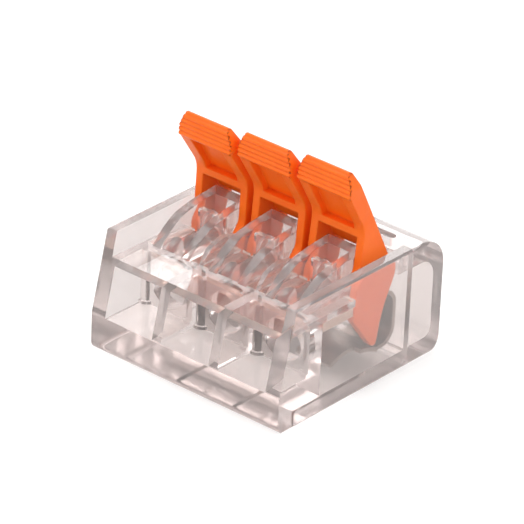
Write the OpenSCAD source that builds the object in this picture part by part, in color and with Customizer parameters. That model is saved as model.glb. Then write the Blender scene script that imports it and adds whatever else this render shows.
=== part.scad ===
// Lever wire connector: a clear housing with three wire ports, each with its own lever and clamping spring.
// X runs across the ports, -Y is the wire entry side, +Z is up. Origin: centre of the base.

/* [Body] */
// Overall width across the ports
body_w = 18.8; // [18.4:0.1:19.4]
// Overall depth from the entry face to the back
body_d = 18.9; // [18.6:0.1:19.4]
// Height of the side walls
body_h = 10; // [9.8:0.1:10.4]
// Thickness of the side walls
wall_t = 0.95; // [0.8:0.05:1.1]
// Rounding of the outer edges along the sides
rim_r = 0.25; // [0.1:0.05:0.4]
// Thickness of the floor
floor_t = 1.2; // [1:0.1:1.3]
// How far the slanted front face leans back
front_lean = 1.56; // [1:0.1:1.8]

/* [Ports] */
// Distance between neighbouring poles
pitch = 5.65; // [5.6:0.05:5.75]
// Width of a wire port
port_w = 4.75; // [4.4:0.05:4.9]
// Radius of the round wire hole
wire_r = 1.4; // [1.2:0.05:1.5]
// Height of the wire hole's axis
wire_z = 5.1; // [5:0.1:5.3]

/* [Domes] */
// Width of a dome over both fins
dome_w = 3.7; // [3.4:0.05:3.7]
// Thickness of a fin
fin_t = 0.8; // [0.6:0.05:0.9]

/* [Levers] */
// Width of a lever
lever_w = 5.15; // [5:0.05:5.15]
// Radius of a trunnion
trunnion_r = 0.9; // [0.7:0.05:0.9]
// How far each lever leans forward of fully open, left to right
lever_lean = [4, 2, 0];

/* [Metal] */
// Thickness of the spring strip
strip_t = 0.35; // [0.25:0.05:0.4]
// Width of the spring strip
strip_w = 3.6; // [3:0.1:3.6]
// Thickness of the busbar
bar_t = 0.8; // [0.6:0.05:0.8]

/* [Hidden] */
POLES = ["left", "middle", "right"];
$fn = 64;
gap = 0.03;                        // assembly gap between pieces of the same body
cut = 0.1;                         // how far a cut runs past a face
half_w = body_w / 2;
front_y = -body_d / 2;
back_y = body_d / 2;
inner_x = half_w - wall_t;         // inner face of a side wall
foot_z = 3.3;                      // where the front face starts to lean
sill_z = 3.2;                      // floor of a wire port
port_top = 7.35;
deck_z = 7.95;                     // top face of the recessed deck
hole_y = -5.26;                    // front of the wall that holds the wire holes
hole_t = 1;
post_x = 2.1;                      // posts beside the wire hole, from the pole's centre
post_y = hole_y + 0.2;
post_r = 0.5;
post_foot_r = 0.72;
post_foot_h = 0.25;
seam_y = 5.65;                     // joint between the housing and the rear cover
roof_y = 4.55;                     // front edge of the rear roof
roof_z = 8.1;                      // underside of the rear roof
test_y = 6.25;                     // centre line of the test slots
slot_half = 1.15;                  // from a test slot's middle to the centre of its rounded end
slot_r = 0.35;
part_t = 0.4;                      // partition between two poles
slot_x = pitch / 2 - part_t / 2;   // inner face of a partition, from the pole's centre
slot_y = -0.5;                     // front end of the cheek slots
bar_z = 6.5;                       // underside of the busbar
bar_y = [hole_y + hole_t + gap, -0.55];
pivot = [1.3, 8];                  // lever axis in side view (y, z)
pivot_clear = 0.05;
hinge = [3.5, 1.75];               // bend that the clamping leg swings about
spring_ratio = 0.7;                // leg angle for each degree of lever angle
leg_r = 4.98;                      // radius of the bowed clamping leg
leg_centre = [0.34, -2.1];
leg_tip_y = -1.9;
ring_back = 5.7;                   // rearmost point of the spring
ring_top = 6.45;                   // top of the spring's fixed leg
lug_w = 1.4;                       // width of the busbar's lug in the spring's window
ring_r = 1.5;                      // outer bend radius of the spring

// ---- Helpers ----

function pole_x(i) = (i - 1) * pitch;
function unit(v) = v / norm(v);

// An outline whose corners are eased by a parabola that starts e[i] before corner i
function eased(p, e, steps = 6) = [
    for (i = [0 : len(p) - 1])
        let (a = p[(i + len(p) - 1) % len(p)], b = p[i], c = p[(i + 1) % len(p)],
             s = b + e[i] * unit(a - b), t = b + e[i] * unit(c - b))
            for (k = [0 : e[i] > 0 ? steps : 0])
                let (f = k / steps) (1 - f) * (1 - f) * s + 2 * f * (1 - f) * b + f * f * t];

// Extrudes a side view (y, z) from x0 to x1
module across(x0, x1) translate([x0, 0, 0]) rotate([90, 0, 90]) linear_extrude(x1 - x0) children();

// The same side view on both sides of a centre plane, from x0 to x1 outwards
module both_sides(x0, x1) {
    across(x0, x1) children();
    across(-x1, -x0) children();
}

// A box in the side view, from (y0, z0) to (y1, z1)
module area(y0, z0, y1, z1) translate([y0, z0]) square([y1 - y0, z1 - z0]);

// What a quarter round of radius r takes off a square corner, where the material lies towards dir
module sliver(corner, dir, r) difference() {
    polygon([corner - cut * dir, [corner.x + r * dir.x, corner.y - cut * dir.y],
        corner + r * dir, [corner.x - cut * dir.x, corner.y + r * dir.y]]);
    translate(corner + r * dir) circle(r);
}

// ---- Body outline ----

module body_outline() difference() {
    polygon([[front_y, 0], [back_y, 0], [back_y, body_h], [front_y + front_lean, body_h],
        [front_y, foot_z]]);
    sliver([front_y, 0], [1, 1], 0.8);
    sliver([back_y, 0], [-1, 1], 1.3);
    sliver([back_y, body_h], [-1, -1], 2.45);
}

module chamber_outline() difference() {
    area(seam_y - 2, floor_t + 0.1, back_y - 0.6, roof_z);
    sliver([back_y - 0.6, floor_t + 0.1], [-1, 1], 0.8);
    sliver([back_y - 0.6, roof_z], [-1, -1], 1.6);
}

// ---- Housing ----

// Side view of a dome: a curved front that flattens towards a square back corner
dome_outline = eased(
    [[-4.95, deck_z - 0.3], [-4.86, 8], [-3.7, 9.15], [-2.4, 9.93], [-0.6, 10.3], [2.39, 10.55], [2.39, 6.8],
     [0.1, 6.8], [0.1, deck_z - 0.3]],
    [0, 0.15, 0.6, 0.6, 0.9, 0.08, 0.2, 0.2, 0]);

module dome() {
    trough_x = dome_w / 2 - fin_t;
    both_sides(trough_x, dome_w / 2) polygon(dome_outline);
    across(-trough_x - gap, trough_x + gap) {
        // closing web at the back
        intersection() {
            polygon(dome_outline);
            area(1.3, 7.35, 2.39, 10.52);
        }
        // floor of the trough
        area(-4.9, 7.35, 2.39, deck_z);
    }
    // rounded nose low in the trough
    intersection() {
        across(-trough_x - gap, trough_x + gap) intersection() {
            translate([-3.1, 7.6]) circle(1.6);
            area(-4.8, deck_z - 0.1, 0, 10);
        }
        translate([0, 0, deck_z]) rotate([90, 0, 0]) cylinder(r = trough_x, h = 12, center = true);
    }
    // cross web with an arched opening
    difference() {
        across(-trough_x - gap, trough_x + gap) area(-0.6, deck_z - 0.1, -0.1, 9.88);
        translate([0, cut, deck_z + 0.15]) rotate([90, 0, 0]) cylinder(r = 0.75, h = 1);
        translate([-0.75, -1, deck_z]) cube([1.5, 1, 0.16]);
    }
}

// Side view of a partition: it arches up beside the domes and is level between the levers
partition_outline = eased(
    [[hole_y + 0.5, floor_t - 0.1], [hole_y + 0.5, deck_z - 0.2], [-4.6, deck_z], [-3.9, 9.05], [-2.5, 9.55],
     [-1.1, 9.35], [0.4, 8.6], [4.3, 8.6], [4.3, floor_t - 0.1]],
    [0, 0, 0.1, 0.5, 0.6, 0.6, 0.4, 0.6, 0]);

module partitions() for (side = [-1, 1]) translate([side * pitch / 2, 0, 0]) difference() {
    across(-part_t / 2, part_t / 2) polygon(partition_outline);
    // slot for the busbar, open to the back so that the bar slides in
    across(-1, 1) area(hole_y + hole_t, bar_z - gap, 6, bar_z + bar_t + gap);
}

// Round posts with a flanged foot that narrow each port towards its wire hole
module posts() for (side = [-1, 1]) translate([side * post_x, post_y, sill_z - cut]) {
    cylinder(r = post_r, h = port_top - sill_z + 2 * cut);
    cylinder(r = post_foot_r, h = post_foot_h + cut);
}

module ports() for (i = [0 : 2]) translate([pole_x(i), 0, 0]) {
    difference() {
        translate([-port_w / 2, front_y - 1, sill_z])
            cube([port_w, hole_y - front_y + 1, port_top - sill_z]);
        posts();
    }
    translate([0, hole_y + hole_t + cut, wire_z]) rotate([90, 0, 0])
        cylinder(r = wire_r, h = hole_t + 2 * cut);
}

module housing() color([0.93, 0.9, 0.9, 0.4]) difference() {
    intersection() {
        union() {
            across(-half_w, half_w) {
                area(front_y, 0, seam_y, floor_t);
                area(front_y, 0, hole_y, deck_z);
                area(hole_y - cut, floor_t - cut, hole_y + hole_t, deck_z);
                area(hole_y, port_top, slot_y, deck_z);
            }
            both_sides(inner_x, half_w) area(front_y, 0, seam_y, body_h);
            partitions();
            for (i = [0 : 2]) translate([pole_x(i), 0, 0]) dome();
        }
        body_envelope();
    }
    ports();
    // trunnion seats in the fins
    for (i = [0 : 2]) translate([pole_x(i), pivot[0], pivot[1]]) rotate([0, 90, 0])
        for (side = [0, 180]) rotate([side, 0, 0])
            translate([0, 0, dome_w / 2 - fin_t + gap]) cylinder(r = trunnion_r + pivot_clear, h = fin_t);
    // groove in the back edge of the floor for the cover's tongue
    across(-half_w - 1, half_w + 1) area(seam_y - 0.6, 0.4, seam_y + 1, 0.8);
}

// The body with eased edges along its sides, left open upwards over the domes
module body_envelope() intersection() {
    across(-half_w, half_w) {
        body_outline();
        area(-5, body_h - 1, 5, body_h + 2);
    }
    eased_sides();
}

module eased_sides() rotate([90, 0, 0]) linear_extrude(body_d + 2, center = true) {
    difference() {
        area(-half_w, 0, half_w, body_h);
        for (side = [-1, 1]) {
            sliver([side * half_w, body_h], [-side, -1], rim_r);
            sliver([side * half_w, 0], [-side, 1], rim_r);
        }
    }
    area(-half_w + 1, body_h - 1, half_w - 1, body_h + 2);
}

// ---- Rear cover ----

module rear_cover() color([0.93, 0.9, 0.9, 0.4]) difference() {
    union() {
        intersection() {
            across(-half_w, half_w) intersection() {
                body_outline();
                area(seam_y + gap, 0, back_y, body_h);
            }
            eased_sides();
        }
        across(-inner_x + gap, inner_x - gap) area(roof_y, roof_z, seam_y + 1, body_h);
        across(-half_w, half_w) area(seam_y - 0.55, 0.4 + gap, seam_y + 0.5, 0.8 - gap);
    }
    // one chamber for each pole, between ribs in line with the partitions
    for (i = [0 : 2]) translate([pole_x(i), 0, 0])
        across(i == 0 ? -(inner_x - pitch) : -slot_x, i == 2 ? inner_x - pitch : slot_x) chamber_outline();
    // test slots with rounded ends
    for (i = [0 : 2]) translate([pole_x(i), test_y, roof_z - 1]) linear_extrude(4) {
        for (side = [-1, 1]) translate([side * slot_half, 0]) circle(slot_r);
        area(-slot_half, -slot_r, slot_half, slot_r);
    }
}

// ---- Metal ----

module busbar() color([0.78, 0.77, 0.75]) {
    translate([-inner_x + 0.1, bar_y[0], bar_z]) cube([2 * (inner_x - 0.1), bar_y[1] - bar_y[0], bar_t]);
    // tabs and lugs that carry the springs
    for (i = [0 : 2]) translate([pole_x(i) - lug_w / 2, 0, 0]) across(0, lug_w) {
        area(-0.8, bar_z, 1.1, bar_z + 0.3);
        area(0.7, ring_top - strip_t - 0.05, 1.1, bar_z + 0.1);
    }
}

module ring_outline(inset) {
    r = ring_r - inset;
    difference() {
        area(-1, hinge.y - strip_t / 2 + inset, ring_back - inset, ring_top - inset);
        sliver([ring_back - inset, hinge.y - strip_t / 2 + inset], [-1, 1], r);
        sliver([ring_back - inset, ring_top - inset], [-1, -1], r);
    }
}

// Fixed leg and bow of a clamping spring
module spring() color([0.62, 0.62, 0.64]) difference() {
    across(-strip_w / 2, strip_w / 2) difference() {
        intersection() {
            ring_outline(0);
            union() {
                area(hinge.x + 0.25, 0, 7, 4);
                area(0.3, 3.9, 7, 8);
            }
        }
        ring_outline(strip_t);
    }
    // window for the busbar's lug
    translate([-lug_w / 2 - gap, 0.7 - gap, ring_top - 1]) cube([lug_w + 2 * gap, 0.4 + 2 * gap, 2]);
}

// Clamping leg: bowed strip with two ears that the lever's feet press on
module tongue(lean) color([0.62, 0.62, 0.64])
    translate([0, hinge.x, hinge.y]) rotate([-lean * spring_ratio, 0, 0])
    translate([0, -hinge.x, -hinge.y]) {
        across(-strip_w / 2, strip_w / 2) {
            leg_band(leg_tip_y, hinge.x);
            translate(hinge) circle(strip_t / 2);
        }
        across(-slot_x + 0.12, slot_x - 0.12) leg_band(0.8, 2.9);
    }

module leg_band(y0, y1) intersection() {
    translate(leg_centre) difference() {
        circle(leg_r + strip_t / 2, $fn = 160);
        circle(leg_r - strip_t / 2, $fn = 160);
    }
    area(y0, 0, y1, 4);
}

// ---- Lever ----

// Side view of the open lever, from the tip down the back to the foot and up the front
lever_outline = eased(
    [[-0.52, 18.15], [-0.2, 18.1], [1.22, 15.45], [4.66, 8.75], [3.08, 5.6], [2.5, 2.85], [2.02, 2.85],
     [-0.35, 5.9], [-0.05, 8.6], [0.75, 9.4], [1.15, 12.9], [-0.8, 16.2], [-0.62, 17.2]],
    [0.1, 0.15, 1.4, 1, 1.2, 0.2, 0.2, 0.3, 0.4, 0.4, 0.8, 0.3, 0.3]);
back_line = [[-0.52, 18.3], [-0.2, 18.3], [1.22, 15.45], [4.05, 9.93]];
web_t = 0.8;
web_r = 2.85;                              // clearance radius of the web about the pivot
cheek_x = dome_w / 2 + pivot_clear;        // inner face of a cheek beside the dome
recess_x = 1.6;                            // half the width of the recess under the grip
rib_z = [12.1, 12.7];
grip_z = 16;

// Strip along the back of the lever, which clears the dome's back corner as the lever turns
module web_outline() difference() {
    intersection() {
        polygon(lever_outline);
        polygon(concat([for (p = back_line) p + [2, 0]],
            [for (k = [3 : -1 : 0]) back_line[k] - [web_t / 0.9, 0]]));
    }
    translate(pivot) circle(web_r);
}

module lever_body() {
    both_sides(cheek_x, lever_w / 2) polygon(lever_outline);
    // thicker frame beside the recess
    both_sides(recess_x, cheek_x + gap) intersection() {
        polygon(lever_outline);
        area(-3, rib_z[0], 5, 19);
    }
    across(-lever_w / 2, lever_w / 2) web_outline();
    across(-cheek_x - gap, cheek_x + gap) intersection() {
        polygon(lever_outline);
        union() {
            area(0, rib_z[0], 5, rib_z[1]);
            area(-3, grip_z, 5, 19);
        }
    }
    // grip ridges
    for (k = [0 : 4]) translate([0, -0.72 + 0.045 * k, 16.3 + 0.36 * k])
        rotate([0, 90, 0]) cylinder(r = 0.2, h = lever_w + 1, center = true);
    // trunnions
    translate([0, pivot.x, pivot.y]) for (side = [0, 180]) rotate([0, 90, side])
        translate([0, 0, cheek_x - fin_t + 0.1]) cylinder(r = trunnion_r, h = fin_t);
}

module lever(lean) color([0.96, 0.36, 0.06])
    translate([0, pivot.x, pivot.y]) rotate([lean, 0, 0]) translate([0, -pivot.x, -pivot.y])
        intersection() {
            lever_body();
            // the tip narrows
            rotate([90, 0, 0]) linear_extrude(40, center = true)
                polygon([[-lever_w / 2, 0], [lever_w / 2, 0], [lever_w / 2, 17], [2, 18.4],
                    [-2, 18.4], [-lever_w / 2, 17]]);
        }

// ---- Assembly ----

housing();
rear_cover();
busbar();
for (i = [0 : 2]) translate([pole_x(i), 0, 0]) {
    lever(lever_lean[i]);
    spring();
    tongue(lever_lean[i]);
}
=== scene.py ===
"""Lever wire connector: materials, springs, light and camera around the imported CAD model."""

import math

import bmesh
import bpy
from mathutils import Matrix, Vector


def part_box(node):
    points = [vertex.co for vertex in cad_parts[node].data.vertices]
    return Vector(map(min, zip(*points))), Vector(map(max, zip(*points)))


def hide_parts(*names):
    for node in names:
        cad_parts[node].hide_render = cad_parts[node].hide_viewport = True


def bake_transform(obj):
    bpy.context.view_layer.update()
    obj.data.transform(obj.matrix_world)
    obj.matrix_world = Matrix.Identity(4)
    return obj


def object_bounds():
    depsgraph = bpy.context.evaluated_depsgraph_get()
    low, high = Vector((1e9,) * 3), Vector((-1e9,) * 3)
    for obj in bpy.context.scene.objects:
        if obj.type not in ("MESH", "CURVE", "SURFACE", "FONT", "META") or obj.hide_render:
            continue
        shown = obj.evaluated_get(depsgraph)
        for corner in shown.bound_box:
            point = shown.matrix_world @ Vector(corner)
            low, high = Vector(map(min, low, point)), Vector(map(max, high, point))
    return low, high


MM = 0.001
POLES = ("left", "middle", "right")

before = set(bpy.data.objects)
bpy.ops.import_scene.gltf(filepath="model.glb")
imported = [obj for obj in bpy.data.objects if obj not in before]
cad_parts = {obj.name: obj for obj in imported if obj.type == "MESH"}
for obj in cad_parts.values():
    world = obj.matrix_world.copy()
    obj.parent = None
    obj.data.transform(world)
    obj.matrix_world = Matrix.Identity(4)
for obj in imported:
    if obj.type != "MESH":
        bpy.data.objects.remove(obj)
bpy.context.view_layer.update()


# ---- Camera: a long lens from the right, above the wire entry side ----

FOCAL_MM = 339.64
AZIMUTH, ELEVATION, ROLL = (math.radians(v) for v in (39.566, 28.163, 2.568))
TARGET = Vector((-0.2815, -0.46, 7.6113)) * MM
DISTANCE = 374.9 * MM


def make_camera():
    level = math.cos(ELEVATION)
    back = Vector((math.sin(AZIMUTH) * level, -math.cos(AZIMUTH) * level, math.sin(ELEVATION)))
    level_x = Vector((0, 0, 1)).cross(back).normalized()
    level_y = back.cross(level_x)
    x = math.cos(ROLL) * level_x + math.sin(ROLL) * level_y
    y = -math.sin(ROLL) * level_x + math.cos(ROLL) * level_y
    data = bpy.data.cameras.new("camera")
    data.lens, data.sensor_width = FOCAL_MM, 36
    data.clip_start, data.clip_end = 0.01, 20
    camera = bpy.data.objects.new("camera", data)
    bpy.context.scene.collection.objects.link(camera)
    turn = Matrix((x, y, back)).transposed().to_4x4()
    camera.matrix_world = Matrix.Translation(TARGET + back * DISTANCE) @ turn
    bpy.context.scene.camera = camera


make_camera()


# ---- Materials ----

class Nodes:
    """A material's node tree, with short calls to add and join nodes."""

    def __init__(self, name):
        self.material = bpy.data.materials.new(name)
        self.material.use_nodes = True
        self.tree = self.material.node_tree
        self.shader = next(n for n in self.tree.nodes if n.type == "BSDF_PRINCIPLED")
        self.output = next(n for n in self.tree.nodes if n.type == "OUTPUT_MATERIAL")

    def add(self, kind, **inputs):
        node = self.tree.nodes.new(kind)
        for key, value in inputs.items():
            self.set(node, key, value)
        return node

    def set(self, node, key, value):
        socket = node.inputs[key.replace("_", " ")]
        if isinstance(value, bpy.types.NodeSocket):
            self.tree.links.new(value, socket)
        else:
            socket.default_value = value

    def look(self, **inputs):
        for key, value in inputs.items():
            self.set(self.shader, key, value)

    def place(self, scale=(1, 1, 1)):
        """Object coordinates in metres, stretched by scale."""
        coords = self.add("ShaderNodeTexCoord")
        mapping = self.add("ShaderNodeMapping", Vector=coords.outputs["Object"])
        mapping.inputs["Scale"].default_value = scale
        return mapping.outputs["Vector"]

    def noise(self, per_metre, detail=3.0, roughness=0.5, scale=(1, 1, 1)):
        node = self.add("ShaderNodeTexNoise", Vector=self.place(scale), Scale=per_metre)
        self.set(node, "Detail", detail)
        self.set(node, "Roughness", roughness)
        return node.outputs["Fac"]

    def ramp(self, value, low, high, start=0.0, end=1.0):
        node = self.add("ShaderNodeMapRange", Value=value)
        for key, v in (("From Min", start), ("From Max", end), ("To Min", low), ("To Max", high)):
            node.inputs[key].default_value = v
        return node.outputs["Result"]

    def mix(self, factor, a, b):
        node = self.tree.nodes.new("ShaderNodeMix")
        node.data_type = "RGBA"
        self.tree.links.new(factor, node.inputs[0])
        for socket, value in ((node.inputs[6], a), (node.inputs[7], b)):
            if isinstance(value, bpy.types.NodeSocket):
                self.tree.links.new(value, socket)
            else:
                socket.default_value = (*value, 1)
        return node.outputs[2]

    def bump(self, height, depth_mm, strength=1.0):
        node = self.add("ShaderNodeBump", Height=height, Distance=depth_mm * MM, Strength=strength)
        return node.outputs["Normal"]


SHADED_EDGE = 0.2         # radius, in mm, over which the levers' edges are shaded as round


def clear_plastic():
    m = Nodes("clear_shell")
    m.look(Base_Color=(0.91, 0.868, 0.855, 1), Transmission_Weight=0.92, IOR=1.5)
    m.look(Roughness=m.ramp(m.noise(900, 2), 0.04, 0.09))
    m.look(Normal=m.bump(m.noise(260, 2), 0.012, 0.35))
    volume = m.add("ShaderNodeVolumeAbsorption")
    volume.inputs["Color"].default_value = (0.42, 0.17, 0.12, 1)
    volume.inputs["Density"].default_value = 24
    m.tree.links.new(volume.outputs["Volume"], m.output.inputs["Volume"])
    return m.material


def orange_plastic():
    m = Nodes("lever_plastic")
    tone = m.noise(420, 3)
    m.look(Base_Color=m.mix(m.ramp(tone, 0, 1, 0.3, 0.7), (0.93, 0.14, 0.005), (0.97, 0.165, 0.008)))
    m.look(Roughness=m.ramp(m.noise(5000, 4), 0.34, 0.46, 0.3, 0.7), Specular_IOR_Level=0.28)
    m.look(IOR=1.5, Subsurface_Weight=0.25, Subsurface_Scale=0.0008, Subsurface_Radius=(1.0, 0.35, 0.1))
    grain = m.bump(m.noise(9000, 3), 0.004, 0.5)
    round_edges = m.add("ShaderNodeBevel", Radius=SHADED_EDGE * MM, Normal=grain)
    round_edges.samples = 6
    m.look(Normal=round_edges.outputs["Normal"])
    return m.material


def spring_steel():
    m = Nodes("spring_steel")
    grain = m.noise(3000, 4, 0.6, scale=(6, 1, 1))
    m.look(Metallic=1.0, Base_Color=m.mix(grain, (0.24, 0.20, 0.18), (0.44, 0.37, 0.33)))
    m.look(Roughness=m.ramp(grain, 0.22, 0.42))
    m.look(Normal=m.bump(grain, 0.004, 0.6))
    return m.material


def tinned_copper():
    m = Nodes("tinned_copper")
    grain = m.noise(2500, 4, 0.6, scale=(1, 5, 5))
    m.look(Metallic=1.0, Base_Color=m.mix(grain, (0.60, 0.42, 0.33), (0.78, 0.62, 0.54)))
    m.look(Roughness=m.ramp(grain, 0.20, 0.38))
    m.look(Normal=m.bump(m.noise(1800, 3), 0.006, 0.5))
    return m.material


CLEAR, ORANGE, STEEL, TIN = clear_plastic(), orange_plastic(), spring_steel(), tinned_copper()


def dress(node, material):
    """Gives a CAD node its finished material."""
    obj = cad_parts[node]
    obj.data.materials.clear()
    obj.data.materials.append(material)
    return obj


LEVER_EDGE, BAR_EDGE = 0.04, 0.06     # bevel widths in mm
WELD_DISTANCE = 1e-7


def soften(obj, width_mm, angle_deg=38, segments=2):
    """Eases the sharp edges of a CAD node by a modifier, so that they catch the light."""
    for polygon in obj.data.polygons:
        polygon.use_smooth = True
    weld = obj.modifiers.new("weld", "WELD")
    weld.merge_threshold = WELD_DISTANCE
    bevel = obj.modifiers.new("bevel", "BEVEL")
    bevel.width, bevel.segments = width_mm * MM, segments
    bevel.limit_method, bevel.angle_limit = "ANGLE", math.radians(angle_deg)
    bevel.use_clamp_overlap = False
    normals = obj.modifiers.new("normals", "WEIGHTED_NORMAL")
    normals.weight, normals.keep_sharp = 90, False


# The clear pieces cast no shadow, which stands in for the light that passes through them.
for name in ("housing", "rear_cover"):
    dress(name, CLEAR).visible_shadow = False
soften(dress("busbar", TIN), BAR_EDGE)
for pole in POLES:
    soften(dress("lever_" + pole, ORANGE), LEVER_EDGE, angle_deg=50, segments=3)


# ---- Clamping springs: one bent strip each, from the busbar's lug round the bow to the clamping edge ----

STRIP_T = 0.35
STRIP_X = 1.8             # half the strip's width
EAR_X = 2.5               # half its width over the two ears that the lever presses on
WINDOW_X = 0.73           # half the width of the window for the busbar's lug
WINDOW_Y = (0.67, 1.13)
WINDOW_STRETCH = 1        # the stretch of the path that runs along the window
EAR_Y = (0.8, 2.9)
TOP_Z, BASE_Z = 6.275, 1.75
BOW_Y, BOW_R = 4.2, 1.325
LEG_TOP_Y = 0.3
HINGE = (3.5, 1.75)
LEG_CENTRE, LEG_R, LEG_TIP_Y = (0.34, -2.1), 4.98, -1.9
SPRING_RATIO = 0.7
LEVER_LEAN = dict(zip(POLES, (4, 2, 0)))


def arc(centre, radius, start_deg, end_deg, steps):
    angles = [math.radians(start_deg + (end_deg - start_deg) * k / steps) for k in range(steps + 1)]
    return [(centre[0] + radius * math.cos(a), centre[1] + radius * math.sin(a)) for a in angles]


def strip_path():
    """The strip's middle line in side view (y, z), in mm, and the index where the clamping leg starts."""
    fixed = [(y, TOP_Z) for y in (LEG_TOP_Y, WINDOW_Y[0], WINDOW_Y[1], 2.6)]
    bow = arc((BOW_Y, TOP_Z - BOW_R), BOW_R, 90, 0, 8) + arc((BOW_Y, BASE_Z + BOW_R), BOW_R, 0, -90, 8)
    base = [(3.85, BASE_Z), (3.62, BASE_Z), HINGE]
    stops = (3.42, 3.3, EAR_Y[1], 2.3, 1.6, EAR_Y[0], 0.3, -0.3, -0.9, -1.4, LEG_TIP_Y)
    leg = [(y, LEG_CENTRE[1] + math.sqrt(LEG_R ** 2 - (y - LEG_CENTRE[0]) ** 2)) for y in stops]
    return fixed + bow + base + leg, len(fixed + bow + base) - 1


def make_spring(pole):
    """The strip at rest, with its ears and window, and the pole's middle in x, in mm."""
    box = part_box("spring_" + pole)
    middle = (box[0].x + box[1].x) / 2 / MM
    path, first_leg = strip_path()
    turn = math.radians(-LEVER_LEAN[pole] * SPRING_RATIO)
    columns = (-EAR_X, -STRIP_X, -WINDOW_X, WINDOW_X, STRIP_X, EAR_X)
    mesh = bmesh.new()
    grid = []
    for k, (y, z) in enumerate(path):
        if k > first_leg:
            dy, dz = y - HINGE[0], z - HINGE[1]
            y = HINGE[0] + dy * math.cos(turn) - dz * math.sin(turn)
            z = HINGE[1] + dy * math.sin(turn) + dz * math.cos(turn)
        grid.append([mesh.verts.new(Vector((middle + x, y, z)) * MM) for x in columns])
    for k in range(len(path) - 1):
        lower, upper = sorted((path[k][0], path[k + 1][0]))
        on_leg = k >= first_leg
        for c in range(len(columns) - 1):
            ear = c in (0, len(columns) - 2)
            window = k == WINDOW_STRETCH and columns[c] == -WINDOW_X
            if ear and not (on_leg and lower > EAR_Y[0] - 0.01 and upper < EAR_Y[1] + 0.01):
                continue
            if window:
                continue
            mesh.faces.new((grid[k][c], grid[k][c + 1], grid[k + 1][c + 1], grid[k + 1][c]))
    for vertex in [v for v in mesh.verts if not v.link_faces]:
        mesh.verts.remove(vertex)
    bmesh.ops.recalc_face_normals(mesh, faces=mesh.faces)
    mesh.normal_update()
    for vertex in mesh.verts:
        vertex.co += vertex.normal * STRIP_T * MM / 2
    bmesh.ops.solidify(mesh, geom=mesh.faces[:], thickness=STRIP_T * MM)
    data = bpy.data.meshes.new("clamp_spring_" + pole)
    mesh.to_mesh(data)
    mesh.free()
    obj = bpy.data.objects.new("clamp_spring_" + pole, data)
    bpy.context.scene.collection.objects.link(obj)
    return obj, middle


for pole in POLES:
    strip, middle = make_spring(pole)
    strip.data.materials.append(STEEL)
    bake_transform(strip)
    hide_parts("spring_" + pole, "tongue_" + pole)


# ---- Floor and light ----

FLOOR_GAP = 0.02          # in mm, so that floor and base don't share a plane


def make_floor():
    """A pale floor that glows a little, more for the camera than for other rays."""
    half = 3.0
    corners = [(-half, -half, 0), (half, -half, 0), (half, half, 0), (-half, half, 0)]
    mesh = bpy.data.meshes.new("floor")
    mesh.from_pydata(corners, [], [(0, 1, 2, 3)])
    floor = bpy.data.objects.new("floor", mesh)
    floor.location.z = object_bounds()[0].z - FLOOR_GAP * MM
    bpy.context.scene.collection.objects.link(floor)
    m = Nodes("floor")
    m.look(Base_Color=(0.78, 0.775, 0.77, 1), Roughness=0.9, Specular_IOR_Level=0.1)
    seen = m.add("ShaderNodeLightPath").outputs["Is Camera Ray"]
    m.look(Emission_Color=(1, 1, 1, 1), Emission_Strength=m.ramp(seen, 0.05, 0.25))
    mesh.materials.append(m.material)


def make_world():
    """A pale studio: bright overhead, dimmer towards the horizon."""
    world = bpy.data.worlds.new("studio")
    bpy.context.scene.world = world
    world.use_nodes = True
    tree = world.node_tree
    background = tree.nodes["Background"]
    coords = tree.nodes.new("ShaderNodeTexCoord")
    split = tree.nodes.new("ShaderNodeSeparateXYZ")
    ramp = tree.nodes.new("ShaderNodeValToRGB")
    tree.links.new(coords.outputs["Generated"], split.inputs[0])
    tree.links.new(split.outputs["Z"], ramp.inputs["Fac"])
    tree.links.new(ramp.outputs["Color"], background.inputs["Color"])
    stops = ramp.color_ramp.elements
    stops[0].position, stops[0].color = 0.0, (0.8, 0.79, 0.79, 1)
    stops[1].position, stops[1].color = 0.75, (0.94, 0.93, 0.93, 1)
    middle = stops.new(0.35)
    middle.color = (0.86, 0.85, 0.85, 1)
    background.inputs["Strength"].default_value = 1.0


def area_light(name, place, size, power, target=(0, 0, 0.006)):
    data = bpy.data.lights.new(name, "AREA")
    data.shape, data.size, data.energy = "DISK", size, power
    light = bpy.data.objects.new(name, data)
    bpy.context.scene.collection.objects.link(light)
    light.location = Vector(place)
    light.rotation_mode = "QUATERNION"
    light.rotation_quaternion = (Vector(target) - light.location).to_track_quat("-Z", "Y")


make_floor()
make_world()
area_light("key", (-0.25, -0.45, 0.75), 0.45, 2.6)
area_light("fill", (0.7, -0.1, 0.45), 0.5, 0.9)
area_light("rim", (-0.35, 0.65, 0.5), 0.4, 1.2)

scene = bpy.context.scene
scene.view_settings.view_transform = "Standard"
scene.view_settings.look = "None"
scene.cycles.max_bounces = 24
scene.cycles.transmission_bounces = 20
scene.cycles.glossy_bounces = 8
scene.cycles.diffuse_bounces = 4
scene.cycles.transparent_max_bounces = 16
